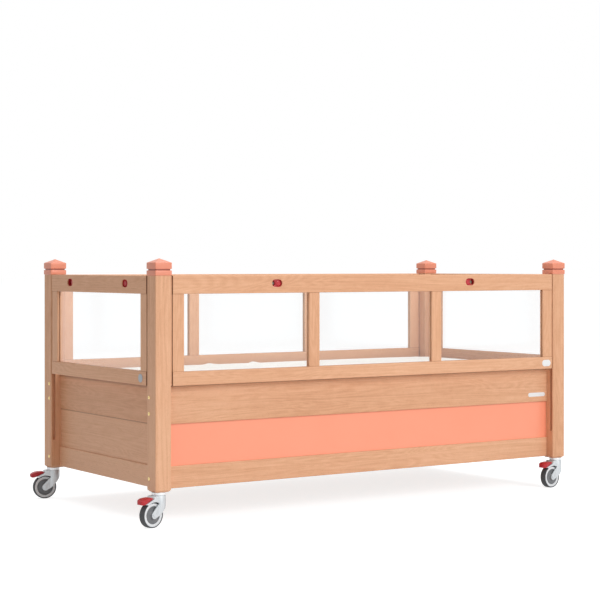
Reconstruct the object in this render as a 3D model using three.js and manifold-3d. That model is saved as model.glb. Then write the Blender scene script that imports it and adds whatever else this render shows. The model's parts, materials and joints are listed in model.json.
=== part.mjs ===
// Pediatric hospital cot: a beech bed on four braked casters. Each of its four sides has a window
// gate that drops in grooves of the corner posts once its two finger latches are drawn.
// Millimetres, +Z up, front towards -Y. The origin is on the floor, under the middle of the footprint.
import * as THREE from "three";
import { mergeVertices } from "three/addons/utils/BufferGeometryUtils.js";
import Module from "manifold-3d";

// Driving dimensions: the bed frame
const bedLength = 2120;
const bedWidth = 1007;
const postWidth = 70;
const postBottom = 135;
const postTop = 971;
const postRounding = 5;
const footChamfer = 7;
const fitGap = 0.3;

// Driving dimensions: caps on the posts
const capWidth = 74;
const capHeight = 67;
const capEave = 51;
const capRounding = 4;
const capEase = 1.5;
const capTip = 2;
const capGroove = { bottom: 19.5, top: 25.5, depth: 3, slope: 2 };

// Driving dimensions: the boards under the gates, measured up from the floor
const boardRecess = 41;
const boardThickness = 22;
const boardRounding = 4;
const upperBoard = { bottom: 391.5, top: 552 };
const lowerRail = { bottom: 141, top: 228 };
const panelThickness = 10;
const panelSeat = 8;

// Driving dimensions: the gates
const gateThickness = 26;
const gateGap = 6;
const gateBottom = 543;
const topRailHeight = 71.5;
const bottomRailHeight = 54.5;
const stileWidth = 52;
const stileRecess = 2;
const gateRounding = 2.5;
const paneThickness = 4;
const paneSeat = 8;
const guide = { width: 14, depth: 12, bottom: 256, play: 0.8, endPlay: 2 };

// Driving dimensions: the finger latches
const latchHeight = 939;
const latchFromPost = 487;
const endLatchFromPost = 185.5;
const fingerHole = { length: 50, height: 31 };
const latchLip = 4.5;
const latchPocketDepth = 21;
const latchWall = 3.5;
const latchTravel = 12;
const buttonRecess = 9.5;
const button = { radius: 12.5, height: 4, rim: 6, dish: 1, margin: 2.5 };
const fingerWell = { width: 19, height: 24, corner: 8 };
const bolt = { radius: 4, below: 12.5, play: 0.6, tipPlay: 1 };

// Driving dimensions: the mattress and what carries it
const platformTop = 440;
const platformThickness = 18;
const ledger = { width: 28, height: 30 };
const ventSlot = { length: 150, width: 32, rows: 2, columns: 8 };
const mattress = { length: 1968, width: 856, edge: 112, crown: 13, corner: 45, drawIn: 7 };

// Driving dimensions: the casters, with the swivel angle each one rests at in degrees
const casterInset = 29;
const casterTrail = 38;
const collar = { radius: 28, height: 12.5, lip: 3, lipHeight: 2 };
const stem = { radius: 6, length: 40, play: 1 };
const wheel = {
  radius: 50,
  width: 30,
  bore: 5.4,
  hub: 14,
  rimIn: 36,
  rimOut: 44,
  shoulder: 46,
  facets: 24,
};
const axle = { radius: 5, head: 8, headProud: 2 };
const fork = { width: 44, slot: 34, wheelGap: 4, armEnd: 18, guard: 47, columnBack: 41, columnLow: 112 };
const horn = { reach: 74, top: 97.5, low: 92 };
const pivot = { back: 44, up: 106, pin: 2, knuckle: 5, knuckleWidth: 28, play: 0.4 };
const pedal = { reach: 110, width: 40, neck: 34, rootTop: 118, rootLow: 112, tipTop: 105, tipLow: 91.5 };
const restSwivel = { front_left: 13, front_right: 7, rear_right: 4, rear_left: -12 };

// The casters at the left end trail past the posts, which moves the middle of the footprint.
const footprintShift = (pedal.reach - casterInset) / 2;

const wasm = await Module();
wasm.setup();

// Finishes, one material for each mesh
const beech = { color: 0xe3ae86, roughness: 0.5, metalness: 0 };
const salmon = { color: 0xf7a182, roughness: 0.35, metalness: 0 };
const plywood = { color: 0xd9b48f, roughness: 0.65, metalness: 0 };
const glazing = { color: 0xeef4f4, roughness: 0.05, metalness: 0, transparent: true, opacity: 0.2 };
const latchRed = { color: 0xc43a42, roughness: 0.35, metalness: 0 };
const cover = { color: 0xf3f4ef, roughness: 0.6, metalness: 0 };
const zincGrey = { color: 0xcdd2d6, roughness: 0.4, metalness: 0.3 };
const tyreGrey = { color: 0x4c4e51, roughness: 0.75, metalness: 0 };
const pedalRed = { color: 0xb9282d, roughness: 0.4, metalness: 0 };

function named(name, geometry, finish) {
  const mesh = new THREE.Mesh(geometry, new THREE.MeshStandardMaterial(finish));
  mesh.name = name;
  return mesh;
}

// A closed geometry as a solid that can be joined and cut
function solid(geometry) {
  const bare = geometry.clone();
  bare.deleteAttribute("normal");
  bare.deleteAttribute("uv");
  const merged = mergeVertices(bare, 1e-4);
  return new wasm.Manifold(
    new wasm.Mesh({
      numProp: 3,
      vertProperties: merged.attributes.position.array,
      triVerts: new Uint32Array(merged.index.array),
    }),
  );
}

function geometryOf(made) {
  const mesh = made.getMesh();
  const geometry = new THREE.BufferGeometry();
  geometry.setAttribute("position", new THREE.BufferAttribute(mesh.vertProperties, 3));
  geometry.setIndex(new THREE.BufferAttribute(mesh.triVerts, 1));
  geometry.computeVertexNormals();
  return geometry;
}

// A box from its low and high value along each axis
function block([x0, x1], [y0, y1], [z0, z1]) {
  const geometry = new THREE.BoxGeometry(x1 - x0, y1 - y0, z1 - z0);
  return geometry.translate((x0 + x1) / 2, (y0 + y1) / 2, (z0 + z1) / 2);
}

// A cylinder along Y or X, through the given middle
function rodAlongY(radius, length, [x, y, z], sides) {
  return new THREE.CylinderGeometry(radius, radius, length, sides).translate(x, y, z);
}

function rodAlongX(radius, length, [x, y, z], sides) {
  const rod = new THREE.CylinderGeometry(radius, radius, length, sides).rotateZ(Math.PI / 2);
  return rod.translate(x, y, z);
}

// A profile drawn in Y and Z, carried along X between two ends
function alongX(shape, from, to, curveSegments = 3) {
  const geometry = new THREE.ExtrudeGeometry(shape, {
    depth: to - from,
    bevelEnabled: false,
    curveSegments,
  });
  const turn = new THREE.Matrix4().makeBasis(
    new THREE.Vector3(0, 1, 0),
    new THREE.Vector3(0, 0, 1),
    new THREE.Vector3(1, 0, 0),
  );
  return geometry.applyMatrix4(turn).translate(from, 0, 0);
}

// A profile drawn in X and Z, carried along Y between two ends; bevel rounds the edges of both faces
function alongY(shape, from, to, bevel = 0, curveSegments = 4) {
  const geometry = new THREE.ExtrudeGeometry(shape, {
    depth: to - from - 2 * bevel,
    bevelEnabled: bevel > 0,
    bevelSize: bevel,
    bevelThickness: bevel,
    bevelOffset: -bevel,
    bevelSegments: 2,
    curveSegments,
  });
  return geometry.rotateX(Math.PI / 2).translate(0, to - bevel, 0);
}

// A profile drawn in X and Y, carried up between two heights
function alongZ(shape, from, to, curveSegments) {
  const geometry = new THREE.ExtrudeGeometry(shape, {
    depth: to - from,
    bevelEnabled: false,
    curveSegments,
  });
  return geometry.translate(0, 0, from);
}

// A rectangle with rounded corners, as an outline
function roundedRectangle([x0, x1], [y0, y1], radius) {
  const outline = new THREE.Shape();
  outline.absarc(x1 - radius, y0 + radius, radius, -Math.PI / 2, 0);
  outline.absarc(x1 - radius, y1 - radius, radius, 0, Math.PI / 2);
  outline.absarc(x0 + radius, y1 - radius, radius, Math.PI / 2, Math.PI);
  outline.absarc(x0 + radius, y0 + radius, radius, Math.PI, 1.5 * Math.PI);
  outline.closePath();
  return outline;
}

// Outline of a slot with round ends, lying along its first axis
function obround(x, y, length, height) {
  const straight = (length - height) / 2;
  const outline = new THREE.Shape();
  outline.absarc(x + straight, y, height / 2, -Math.PI / 2, Math.PI / 2);
  outline.absarc(x - straight, y, height / 2, Math.PI / 2, 1.5 * Math.PI);
  outline.closePath();
  return outline;
}

// One level of a loft: a rounded rectangle whose sides may be split into steps and drawn in
function ring(halfX, halfY, radius, z, { arcs = 3, steps = [1, 1], drawIn = 0 } = {}) {
  const points = [];
  const corners = [[1, 1], [-1, 1], [-1, -1], [1, -1]];
  corners.forEach(([signX, signY], quarter) => {
    const x = signX * (halfX - radius);
    const y = signY * (halfY - radius);
    for (let i = 0; i <= arcs; i++) {
      const angle = ((quarter + i / arcs) * Math.PI) / 2;
      points.push(new THREE.Vector3(x + radius * Math.cos(angle), y + radius * Math.sin(angle), z));
    }
    const alongLength = quarter % 2 === 0;
    const count = alongLength ? steps[0] : steps[1];
    for (let i = 1; i < count; i++) {
      const share = i / count;
      const dent = drawIn * 4 * share * (1 - share);
      const across = 1 - 2 * share;
      points.push(
        alongLength
          ? new THREE.Vector3(x * across, signY * (halfY - dent), z)
          : new THREE.Vector3(signX * (halfX - dent), y * across, z),
      );
    }
  });
  return points;
}

// A closed body through rings of equal count, from the lowest up
function loft(rings) {
  const count = rings[0].length;
  const middle = (points) =>
    points.reduce((sum, p) => sum.add(p), new THREE.Vector3()).divideScalar(points.length);
  const vertices = [...rings.flat(), middle(rings[0]), middle(rings.at(-1))];
  const lowMiddle = vertices.length - 2;
  const highMiddle = vertices.length - 1;
  const top = (rings.length - 1) * count;
  const triangles = [];
  for (let j = 0; j < count; j++) {
    const next = (j + 1) % count;
    triangles.push(lowMiddle, next, j, highMiddle, top + j, top + next);
    for (let i = 0; i < rings.length - 1; i++) {
      const low = i * count;
      const high = low + count;
      triangles.push(low + j, low + next, high + next, low + j, high + next, high + j);
    }
  }
  const geometry = new THREE.BufferGeometry().setFromPoints(vertices);
  geometry.setIndex(triangles);
  geometry.computeVertexNormals();
  return geometry;
}

// Corner post, drawn for the front left corner about its own axis: a groove in each inner face
// guides a gate, and a bore in the foot takes the caster's stem.
function postGeometry() {
  const half = postWidth / 2;
  const body = loft([
    ring(half - footChamfer, half - footChamfer, postRounding, postBottom),
    ring(half, half, postRounding, postBottom + footChamfer),
    ring(half, half, postRounding, postTop),
  ]);
  const grooveMiddle = -half + gateThickness / 2;
  const groove = new THREE.Shape();
  const roundEnd = guide.bottom + guide.width / 2;
  groove.moveTo(grooveMiddle + guide.width / 2, postTop + 1);
  groove.lineTo(grooveMiddle - guide.width / 2, postTop + 1);
  groove.absarc(grooveMiddle, roundEnd, guide.width / 2, Math.PI, 2 * Math.PI);
  groove.closePath();
  const endGroove = alongY(groove, half - guide.depth, half + 1);
  const sideGroove = alongX(groove, half - guide.depth, half + 1, 4);
  const boreRadius = stem.radius + stem.play;
  const bore = new THREE.CylinderGeometry(boreRadius, boreRadius, stem.length + 2, 10);
  const offset = casterInset - half;
  bore.rotateX(Math.PI / 2).translate(offset, offset, postBottom + stem.length / 2);
  return geometryOf(
    solid(body).subtract(solid(endGroove)).subtract(solid(sideGroove)).subtract(solid(bore)),
  );
}

// Lacquered cap: a band and a block parted by a groove, under a low pyramid
function capGeometry() {
  const half = capWidth / 2;
  const base = postTop + fitGap;
  const level = (inset, up) => {
    const reach = half - inset;
    return ring(reach, reach, Math.min(capRounding, reach), base + up, { arcs: 2 });
  };
  const { bottom, top, depth, slope } = capGroove;
  return loft([
    level(capEase, 0),
    level(0, capEase),
    level(0, bottom),
    level(depth, bottom + slope),
    level(depth, top - slope),
    level(0, top),
    level(0, capEave - capEase),
    level(capEase, capEave),
    level(half - capTip, capHeight - capTip / 2),
    level(half - capTip / 4, capHeight),
  ]);
}

// Board between two posts, with a groove along one edge that holds the panel
function boardGeometry(span, outerFace, { bottom, top }, grooveAtTop) {
  const front = outerFace + boardRecess;
  const profile = roundedRectangle([front, front + boardThickness], [bottom, top], boardRounding);
  const board = alongX(profile, -span / 2 + fitGap, span / 2 - fitGap, 2);
  const seat = panelSeat + fitGap;
  const middle = front + boardThickness / 2;
  const halfGroove = panelThickness / 2 + fitGap;
  const depth = grooveAtTop ? [top - seat, top + 1] : [bottom - 1, bottom + seat];
  const groove = block([-span, span], [middle - halfGroove, middle + halfGroove], depth);
  return geometryOf(solid(board).subtract(solid(groove)));
}

function panelGeometry(span, outerFace) {
  const middle = outerFace + boardRecess + boardThickness / 2;
  return block(
    [-span / 2 + fitGap, span / 2 - fitGap],
    [middle - panelThickness / 2, middle + panelThickness / 2],
    [lowerRail.top - panelSeat, upperBoard.bottom + panelSeat],
  );
}

// Low and high X of each window of a gate
function windowSpans(gateLength, windows) {
  const opening = (gateLength - (windows + 1) * stileWidth) / windows;
  return Array.from({ length: windows }, (_, i) => {
    const low = -gateLength / 2 + stileWidth + i * (opening + stileWidth);
    return [low, low + opening];
  });
}

const windowHeights = [gateBottom + bottomRailHeight, postTop - topRailHeight];

// Pocket of one latch: the finger hole in the face, the space the slider runs in behind it, and
// the channel that leads its bolt out of the end of the gate. towards is +1 or -1, to the centre.
function latchPocket(gateLength, outerFace, x, towards) {
  const hole = obround(x, latchHeight, fingerHole.length, fingerHole.height);
  const opening = alongY(hole, outerFace - 1, outerFace + latchLip + 1, 0, 4);
  const halfLength = fingerHole.length / 2 + latchWall + fitGap;
  const halfHeight = fingerHole.height / 2 + latchWall + fitGap;
  const ends = [x - towards * halfLength, x + towards * (halfLength + latchTravel)];
  const space = block(
    [Math.min(...ends), Math.max(...ends)],
    [outerFace + latchLip, outerFace + latchPocketDepth],
    [latchHeight - halfHeight, latchHeight + halfHeight],
  );
  const end = -towards * (gateLength / 2 + guide.depth + gateGap);
  const channel = rodAlongX(
    bolt.radius + bolt.play,
    Math.abs(end - x),
    [(end + x) / 2, outerFace + gateThickness / 2, latchHeight - bolt.below],
    8,
  );
  return solid(opening).add(solid(space)).add(solid(channel));
}

// A bar of a gate with eased edges, set back from both faces by the given recess
function gateBar([x0, x1], [z0, z1], outerFace, recess) {
  const outline = new THREE.Shape();
  outline.moveTo(x0, z0);
  outline.lineTo(x1, z0);
  outline.lineTo(x1, z1);
  outline.lineTo(x0, z1);
  outline.closePath();
  return solid(alongY(outline, outerFace + recess, outerFace + gateThickness - recess, gateRounding));
}

// Glued gate frame: two rails that run through, the stiles between them, the guide tongues on its
// ends, and grooves for the panes
function gateGeometry({ span, reach, windows, latchAt }) {
  const length = span - 2 * gateGap;
  const outerFace = -reach;
  const ends = [-length / 2, length / 2];
  const [low, high] = windowHeights;
  const spans = windowSpans(length, windows);
  let made = gateBar(ends, [high, postTop], outerFace, 0);
  made = made.add(gateBar(ends, [gateBottom, low], outerFace, 0));
  const stileEnds = [ends[0], ...spans.flat(), ends[1]];
  const stileHeights = [low - bottomRailHeight / 2, high + topRailHeight / 2];
  for (let i = 0; i < stileEnds.length; i += 2) {
    made = made.add(gateBar([stileEnds[i], stileEnds[i + 1]], stileHeights, outerFace, stileRecess));
  }
  const middle = outerFace + gateThickness / 2;
  const halfTongue = (guide.width - 2 * guide.play) / 2;
  const tongueEnd = span / 2 + guide.depth - guide.endPlay;
  const tongueHeights = [gateBottom + guide.endPlay, postTop - guide.endPlay];
  for (const side of [-1, 1]) {
    const limits = [side * (length / 2 - stileWidth / 4), side * tongueEnd];
    const tongue = block(
      [Math.min(...limits), Math.max(...limits)],
      [middle - halfTongue, middle + halfTongue],
      tongueHeights,
    );
    made = made.add(solid(tongue));
  }
  const halfPane = paneThickness / 2 + fitGap;
  for (const [left, right] of spans) {
    const groove = block(
      [left - paneSeat, right + paneSeat],
      [middle - halfPane, middle + halfPane],
      [low - paneSeat, high + paneSeat],
    );
    made = made.subtract(solid(groove));
  }
  made = made.subtract(latchPocket(length, outerFace, -latchAt, 1));
  made = made.subtract(latchPocket(length, outerFace, latchAt, -1));
  return geometryOf(made);
}

function paneGeometry([left, right], outerFace) {
  const middle = outerFace + gateThickness / 2;
  const [low, high] = windowHeights;
  const seat = paneSeat - fitGap;
  return block(
    [left - seat, right + seat],
    [middle - paneThickness / 2, middle + paneThickness / 2],
    [low - seat, high + seat],
  );
}

// Red latch slider: a cup with a finger well on the post's side and a domed button on the side of
// the gate's centre, and the bolt that it draws out of the post's groove.
function latchGeometry({ span, reach }, x, towards) {
  const outerFace = -reach;
  const front = outerFace + latchLip + fitGap;
  const back = outerFace + latchPocketDepth - fitGap;
  const halfLength = fingerHole.length / 2 + latchWall;
  const halfHeight = fingerHole.height / 2 + latchWall;
  const body = roundedRectangle(
    [x - halfLength, x + halfLength],
    [latchHeight - halfHeight, latchHeight + halfHeight],
    2,
  );
  const recess = obround(x, latchHeight, fingerHole.length, fingerHole.height);
  const floor = outerFace + buttonRecess;
  const wellMiddle = x - towards * (fingerHole.length - fingerWell.width) / 2;
  const well = roundedRectangle(
    [wellMiddle - fingerWell.width / 2, wellMiddle + fingerWell.width / 2],
    [latchHeight - fingerWell.height / 2, latchHeight + fingerWell.height / 2],
    fingerWell.corner,
  );
  const { radius, height, rim, dish, margin } = button;
  const dome = [
    new THREE.Vector2(0, -1),
    new THREE.Vector2(radius, -1),
    new THREE.Vector2(radius, height * 0.4),
    new THREE.Vector2(radius - 2, height * 0.8),
    new THREE.Vector2(rim, height),
    new THREE.Vector2(rim - 1.5, height - dish),
    new THREE.Vector2(0, height - dish),
  ];
  const buttonX = x + towards * (fingerHole.length / 2 - radius - margin);
  const knob = new THREE.LatheGeometry(dome, 12).rotateX(Math.PI);
  knob.translate(buttonX, floor, latchHeight);
  const boltEnd = -towards * (span / 2 + guide.depth - bolt.tipPlay);
  const boltStart = x - towards * (halfLength - 1);
  const rod = rodAlongX(
    bolt.radius,
    Math.abs(boltEnd - boltStart),
    [(boltEnd + boltStart) / 2, outerFace + gateThickness / 2, latchHeight - bolt.below],
    8,
  );
  return geometryOf(
    solid(alongY(body, front, back, 0, 1))
      .subtract(solid(alongY(recess, front - 1, floor, 0, 4)))
      .subtract(solid(alongY(well, front - 1, back + 1, 0, 1)))
      .add(solid(knob))
      .add(solid(rod)),
  );
}

// Plywood platform with rows of ventilation slots
function platformGeometry(length, width) {
  const outline = roundedRectangle([-length / 2, length / 2], [-width / 2, width / 2], 6);
  const bottom = platformTop - platformThickness;
  let sheet = solid(alongZ(outline, bottom, platformTop, 3));
  const pitchX = length / ventSlot.columns;
  const pitchY = width / (ventSlot.rows + 1);
  for (let column = 0; column < ventSlot.columns; column++) {
    for (let row = 0; row < ventSlot.rows; row++) {
      const x = (column + 0.5) * pitchX - length / 2;
      const y = (row + 1) * pitchY - width / 2;
      const slot = obround(x, y, ventSlot.length, ventSlot.width);
      sheet = sheet.subtract(solid(alongZ(slot, bottom - 1, platformTop + 1, 2)));
    }
  }
  return geometryOf(sheet);
}

// Mattress: its sides swell between two welded edges and draw in between the corners, and its top
// is crowned.
function mattressGeometry() {
  const { length, width, edge, crown, corner, drawIn } = mattress;
  const base = platformTop + fitGap;
  const level = (inset, up, dent) =>
    ring(length / 2 - inset, width / 2 - inset, Math.max(corner - inset, 8), base + up, {
      arcs: 4,
      steps: [14, 7],
      drawIn: dent,
    });
  const rings = [
    level(12, 0, drawIn),
    level(3, 6, drawIn),
    level(0, edge * 0.3, drawIn * 0.6),
    level(0, edge * 0.65, drawIn * 0.6),
    level(2, edge - 9, drawIn),
    level(9, edge - 2, drawIn),
    level(20, edge, drawIn),
  ];
  for (const share of [0.2, 0.45, 0.75]) {
    const rise = crown * Math.sin((share * Math.PI) / 2);
    rings.push(level(20 + (width / 2 - 60) * share, edge + rise, drawIn * (1 - share)));
  }
  return loft(rings);
}

// Casters are drawn about the swivel axis, trailing towards -X, with the axle along Y.
const hub = { x: -casterTrail, z: wheel.radius };
const forkTop = postBottom - collar.height;

// Fixed collar under the post, on the stem that goes up into it
function collarGeometry() {
  const bottom = forkTop + fitGap;
  const top = postBottom - fitGap;
  const stemTop = top + stem.length - 2;
  const { radius, lip, lipHeight } = collar;
  const profile = [
    new THREE.Vector2(0, bottom),
    new THREE.Vector2(radius - lip, bottom),
    new THREE.Vector2(radius - lip, bottom + lipHeight),
    new THREE.Vector2(radius, bottom + lipHeight + 0.5),
    new THREE.Vector2(radius, top - 1),
    new THREE.Vector2(radius - 1, top),
    new THREE.Vector2(stem.radius, top),
    new THREE.Vector2(stem.radius, stemTop),
    new THREE.Vector2(0, stemTop),
  ];
  return new THREE.LatheGeometry(profile, 18).rotateX(Math.PI / 2);
}

// Swivel housing seen from the side: a column under the collar, one diagonal arm down to the hub,
// and a mudguard that ends in a horn under the pedal
function forkProfile() {
  const front = collar.radius + 1;
  const { columnBack, columnLow, guard, armEnd } = fork;
  const outline = new THREE.Shape();
  outline.moveTo(front, forkTop);
  outline.lineTo(9 - columnBack, forkTop);
  outline.quadraticCurveTo(1 - columnBack, forkTop, -columnBack, columnLow);
  outline.lineTo(-horn.reach, horn.top);
  outline.lineTo(2 - horn.reach, horn.low);
  outline.absarc(hub.x, hub.z, guard, 0.67 * Math.PI, 0.345 * Math.PI, true);
  outline.absarc(hub.x, hub.z, armEnd, 0.75 * Math.PI, 1.75 * Math.PI);
  outline.quadraticCurveTo(front, 0.72 * forkTop, front, 0.82 * forkTop);
  outline.closePath();
  return outline;
}

// The housing seen from above: round at the swivel, then as wide as the two arms
function forkPlan() {
  const half = fork.width / 2;
  const corner = half - 8;
  const end = -horn.reach - 2;
  const meet = Math.acos(half / collar.radius);
  const outline = new THREE.Shape();
  outline.absarc(0, 0, collar.radius, -Math.PI / 2 - meet, Math.PI / 2 + meet);
  outline.lineTo(end + 10, half);
  outline.quadraticCurveTo(end + 1, half, end, corner);
  outline.lineTo(end, -corner);
  outline.quadraticCurveTo(end + 1, -half, end + 10, -half);
  outline.closePath();
  return outline;
}

// Fork with its axle and the pedal's pivot pin
function forkGeometry() {
  const { width, slot, wheelGap } = fork;
  const middle = [hub.x, 0, hub.z];
  const side = alongY(forkProfile(), -width, width, 0, 5);
  const plan = alongZ(forkPlan(), 0, forkTop + 1, 9);
  const wheelSpace = rodAlongY(wheel.radius + wheelGap, slot, middle, wheel.facets);
  const shaft = rodAlongY(axle.radius, width - 2, middle, 10);
  const heads = rodAlongY(axle.head, width + 2 * axle.headProud, middle, 12);
  const betweenArms = rodAlongY(wheel.radius, slot, middle, wheel.facets);
  const pinMiddle = [-pivot.back, 0, pivot.up];
  const notch = rodAlongY(pivot.knuckle + 1.5, pivot.knuckleWidth + 1, pinMiddle, 14);
  const pin = rodAlongY(pivot.pin, width - 4, pinMiddle, 8);
  return geometryOf(
    solid(side)
      .intersect(solid(plan))
      .subtract(solid(wheelSpace))
      .subtract(solid(notch))
      .add(solid(heads).subtract(solid(betweenArms)))
      .add(solid(shaft))
      .add(solid(pin)),
  );
}

// Wheel: hub, thin web, rim and rounded tyre, turned with a flat of the tread on the floor
function wheelGeometry() {
  const half = wheel.width / 2;
  const web = half - 4.5;
  const rim = half - 2;
  const tread = half - 6;
  const nearSide = [
    [wheel.bore, -half],
    [wheel.hub, -half],
    [wheel.hub + 1.5, -web],
    [wheel.rimIn - 1, -web],
    [wheel.rimIn, -rim],
    [wheel.rimOut, -rim],
    [wheel.shoulder, -half],
    [wheel.radius, -tread],
  ];
  const farSide = nearSide.map(([radius, across]) => [radius, -across]).reverse();
  const profile = [...nearSide, ...farSide, nearSide[0]];
  const overFlats = 1 / Math.cos(Math.PI / wheel.facets);
  const points = profile.map(([radius, across]) => new THREE.Vector2(radius * overFlats, across));
  const turned = new THREE.LatheGeometry(points, wheel.facets).rotateY(Math.PI / wheel.facets);
  return turned.translate(hub.x, 0, hub.z);
}

// Brake pedal: its outlines from above and from the side meet in one lever, which lies on the horn
// and hangs on the pivot pin by a knuckle
function pedalGeometry() {
  const { rootTop, rootLow, tipTop, tipLow } = pedal;
  const half = pedal.width / 2;
  const neck = pedal.neck / 2;
  const tip = -pedal.reach;
  const root = -pivot.back - 0.5;
  const heel = -horn.reach - 2;
  const side = new THREE.Shape();
  side.moveTo(root, rootTop - 4);
  side.quadraticCurveTo(root, rootTop, root - 4, rootTop);
  side.quadraticCurveTo(heel - 8, rootTop + 1, tip + 4, tipTop);
  side.quadraticCurveTo(tip, tipTop - 3, tip, (tipTop + tipLow) / 2 - 1);
  side.quadraticCurveTo(tip + 1, tipLow, tip + 10, tipLow);
  side.quadraticCurveTo(heel - 12, tipLow + 0.5, heel, horn.top + 0.5);
  side.lineTo(root, rootLow);
  side.closePath();
  const lobe = half - 2;
  const front = 8 - pivot.back;
  const plan = new THREE.Shape();
  plan.moveTo(front, -neck);
  plan.lineTo(front, neck);
  plan.quadraticCurveTo(heel + 10, neck, heel - 4, half);
  plan.absarc(tip + lobe, 0, lobe, 0.6 * Math.PI, 1.4 * Math.PI);
  plan.lineTo(heel - 4, -half);
  plan.quadraticCurveTo(heel + 10, -neck, front, -neck);
  plan.closePath();
  const pinMiddle = [-pivot.back, 0, pivot.up];
  const halfKnuckle = pivot.knuckleWidth / 2;
  const knuckle = rodAlongY(pivot.knuckle, pivot.knuckleWidth, pinMiddle, 12);
  const web = block([root - 4.5, root], [-halfKnuckle, halfKnuckle], [pivot.up, rootLow + 2]);
  const pinHole = rodAlongY(pivot.pin + pivot.play, pedal.width, pinMiddle, 8);
  return geometryOf(
    solid(alongY(side, -pedal.width, pedal.width, 0, 4))
      .intersect(solid(alongZ(plan, tipLow - 10, rootTop + 10, 4)))
      .add(solid(knuckle))
      .add(solid(web))
      .subtract(solid(pinHole)),
  );
}

const lengthBetweenPosts = bedLength - 2 * postWidth;
const widthBetweenPosts = bedWidth - 2 * postWidth;
const long = {
  span: lengthBetweenPosts,
  reach: bedWidth / 2,
  windows: 3,
  latchAt: lengthBetweenPosts / 2 - latchFromPost,
  panel: salmon,
};
const short = {
  span: widthBetweenPosts,
  reach: bedLength / 2,
  windows: 1,
  latchAt: widthBetweenPosts / 2 - endLatchFromPost,
  panel: beech,
};
const sides = [
  { name: "front", turn: 0, ...long },
  { name: "right", turn: Math.PI / 2, ...short },
  { name: "rear", turn: Math.PI, ...long },
  { name: "left", turn: -Math.PI / 2, ...short },
];

// One side of the bed, drawn as the front and turned into place
function sideGroup(side) {
  const { name, turn, span, reach, windows, latchAt } = side;
  const group = new THREE.Group();
  group.rotation.z = turn;
  group.add(
    named(`${name}_upper_board`, boardGeometry(span, -reach, upperBoard, false), beech),
    named(`${name}_panel`, panelGeometry(span, -reach), side.panel),
    named(`${name}_lower_rail`, boardGeometry(span, -reach, lowerRail, true), beech),
    named(`${name}_gate_frame`, gateGeometry(side), beech),
    named(`${name}_latch_left`, latchGeometry(side, -latchAt, 1), latchRed),
    named(`${name}_latch_right`, latchGeometry(side, latchAt, -1), latchRed),
  );
  const places = windows === 1 ? [""] : ["_left", "_middle", "_right"];
  windowSpans(span - 2 * gateGap, windows).forEach((window, i) => {
    group.add(named(`${name}_pane${places[i]}`, paneGeometry(window, -reach), glazing));
  });
  return group;
}

const corners = [
  { name: "front_left", signX: -1, signY: -1, turn: 0 },
  { name: "front_right", signX: 1, signY: -1, turn: Math.PI / 2 },
  { name: "rear_right", signX: 1, signY: 1, turn: Math.PI },
  { name: "rear_left", signX: -1, signY: 1, turn: -Math.PI / 2 },
];

// Post, cap and caster of one corner
function cornerGroup({ name, signX, signY, turn }) {
  const group = new THREE.Group();
  const post = named(`post_${name}`, postGeometry(), beech);
  const cap = named(`cap_${name}`, capGeometry(), salmon);
  const axisX = signX * (bedLength / 2 - postWidth / 2);
  const axisY = signY * (bedWidth / 2 - postWidth / 2);
  post.position.set(axisX, axisY, 0);
  post.rotation.z = turn;
  cap.position.set(axisX, axisY, 0);
  const caster = new THREE.Group();
  caster.position.set(signX * (bedLength / 2 - casterInset), signY * (bedWidth / 2 - casterInset), 0);
  caster.rotation.z = THREE.MathUtils.degToRad(restSwivel[name]);
  caster.add(
    named(`caster_collar_${name}`, collarGeometry(), zincGrey),
    named(`caster_fork_${name}`, forkGeometry(), zincGrey),
    named(`caster_wheel_${name}`, wheelGeometry(), tyreGrey),
    named(`caster_pedal_${name}`, pedalGeometry(), pedalRed),
  );
  group.add(post, cap, caster);
  return group;
}

// What lies inside the boards: two ledgers, the platform on them and the mattress
function beddingGroup() {
  const group = new THREE.Group();
  const platformLength = lengthBetweenPosts - 2;
  const platformWidth = widthBetweenPosts - 2;
  const boardInside = bedWidth / 2 - boardRecess - boardThickness;
  const top = platformTop - platformThickness - fitGap;
  for (const [name, sign] of [["front", -1], ["rear", 1]]) {
    const faces = [sign * (boardInside - ledger.width), sign * (boardInside - fitGap)];
    const batten = block(
      [-platformLength / 2, platformLength / 2],
      [Math.min(...faces), Math.max(...faces)],
      [top - ledger.height, top],
    );
    group.add(named(`ledger_${name}`, batten, beech));
  }
  group.add(
    named("mattress_platform", platformGeometry(platformLength, platformWidth), plywood),
    named("mattress", mattressGeometry(), cover),
  );
  return group;
}

const cot = new THREE.Group();
cot.position.x = footprintShift;
cot.add(...sides.map(sideGroup), ...corners.map(cornerGroup), beddingGroup());

const part = new THREE.Group();
part.add(cot);

export default part;
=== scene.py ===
import json
import math
from functools import partial

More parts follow.
